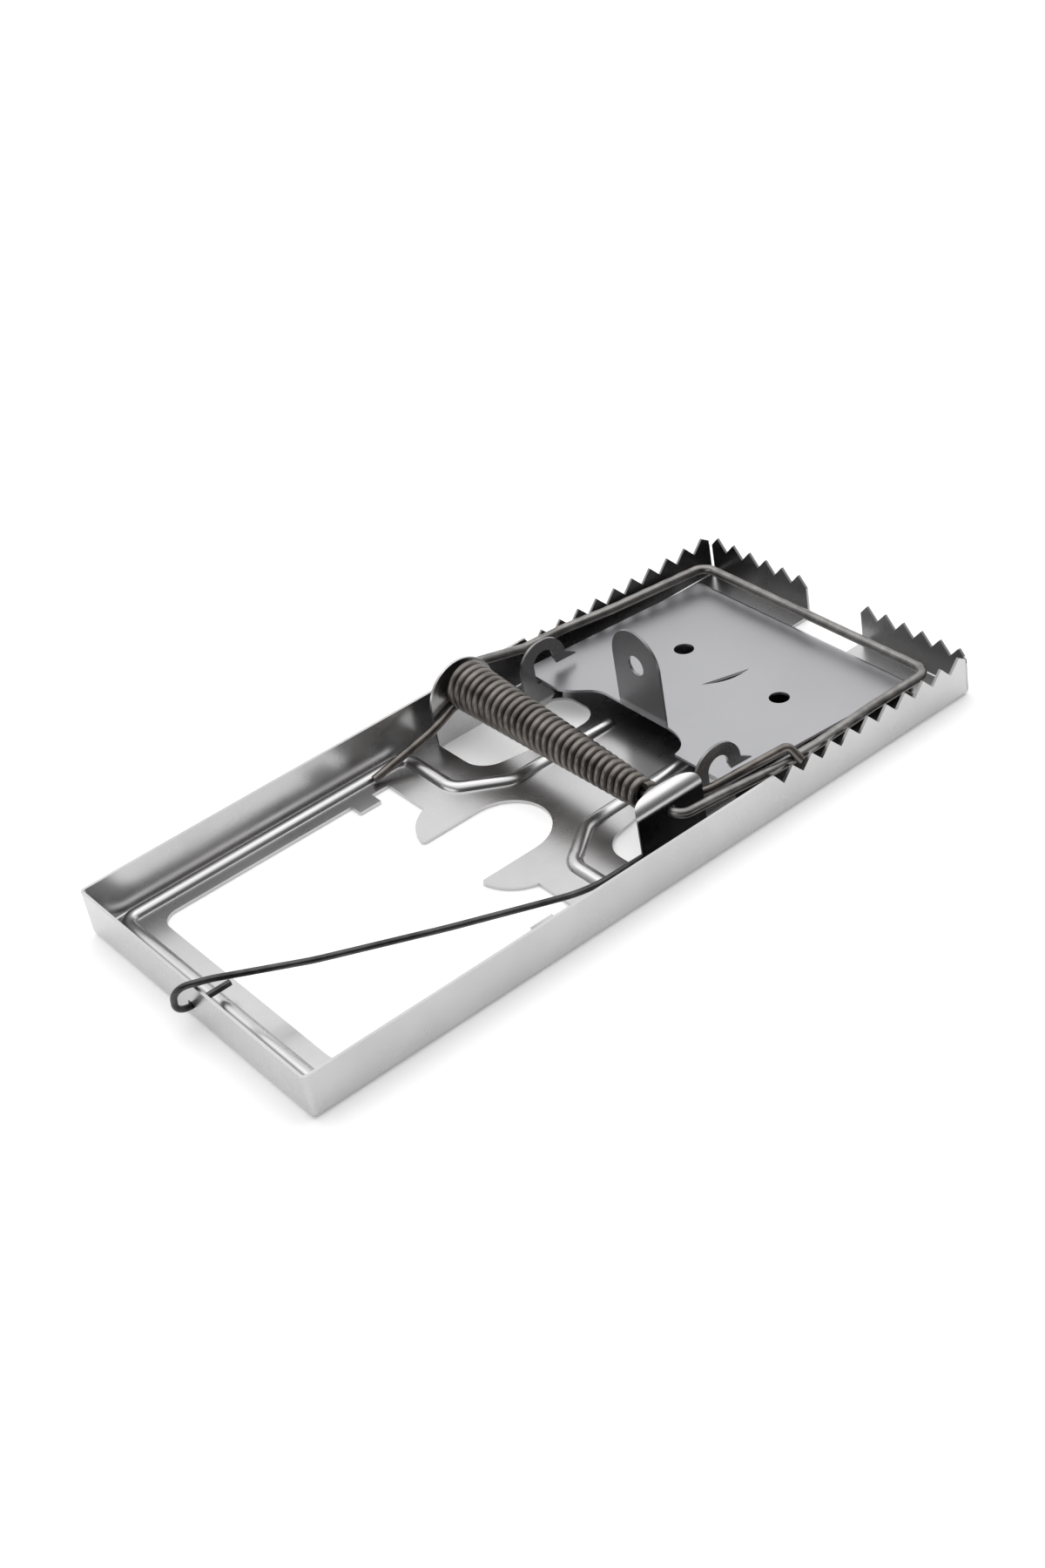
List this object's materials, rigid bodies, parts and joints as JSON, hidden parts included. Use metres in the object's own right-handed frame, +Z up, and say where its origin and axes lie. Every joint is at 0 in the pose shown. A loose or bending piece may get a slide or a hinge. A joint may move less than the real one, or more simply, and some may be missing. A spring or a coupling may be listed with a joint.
{
  "type": "snap rat trap",
  "caption": "All-metal snap rat trap: folded toothed steel tray, wire hammer on a long torsion spring, bait pedal with catch tab, and a lock bar.",
  "frame": {"origin": "on the floor plane, under the middle of the hammer's axle", "axes": "+X along the tray to its toothed end, +Y away from the side the lock bar lies on, +Z up"},
  "size_m": [0.1793, 0.0822, 0.028],
  "materials": {
    "tray_steel": "satin zinc-plated sheet steel",
    "pedal_steel": "satin zinc-plated sheet steel",
    "hammer_wire": "drawn steel wire, lightly oiled",
    "spring_wire": "dark drawn spring wire",
    "lock_wire": "dark drawn wire"
  },
  "bodies": {
    "tray": {"base_tray": "tray_steel", "spring_coil": "spring_wire"},
    "hammer_body": {"hammer": "hammer_wire", "spring_hammer_leg": "spring_wire"},
    "pedal_body": {"pedal": "pedal_steel"},
    "lock_bar_body": {"lock_bar": "lock_wire"}
  },
  "joints": [
    {"name": "hammer_swing", "type": "hinge", "parent": "tray", "child": "hammer_body", "pos_m": [0, 0, 0.0112], "axis": [0, -1, 0], "range_deg": [0, 175], "stiffness_Nm_per_rad": 0.08, "springref_deg": -57.3},
    {"name": "pedal_tilt", "type": "hinge", "parent": "tray", "child": "pedal_body", "pos_m": [0.0165, 0, 0.0073], "axis": [0, -1, 0], "range_deg": [0, 1.5]},
    {"name": "lock_bar_swing", "type": "hinge", "parent": "tray", "child": "lock_bar_body", "pos_m": [-0.0957, 0, 0.004], "axis": [0, 0, 1], "range_deg": [0, 34]}
  ]
}
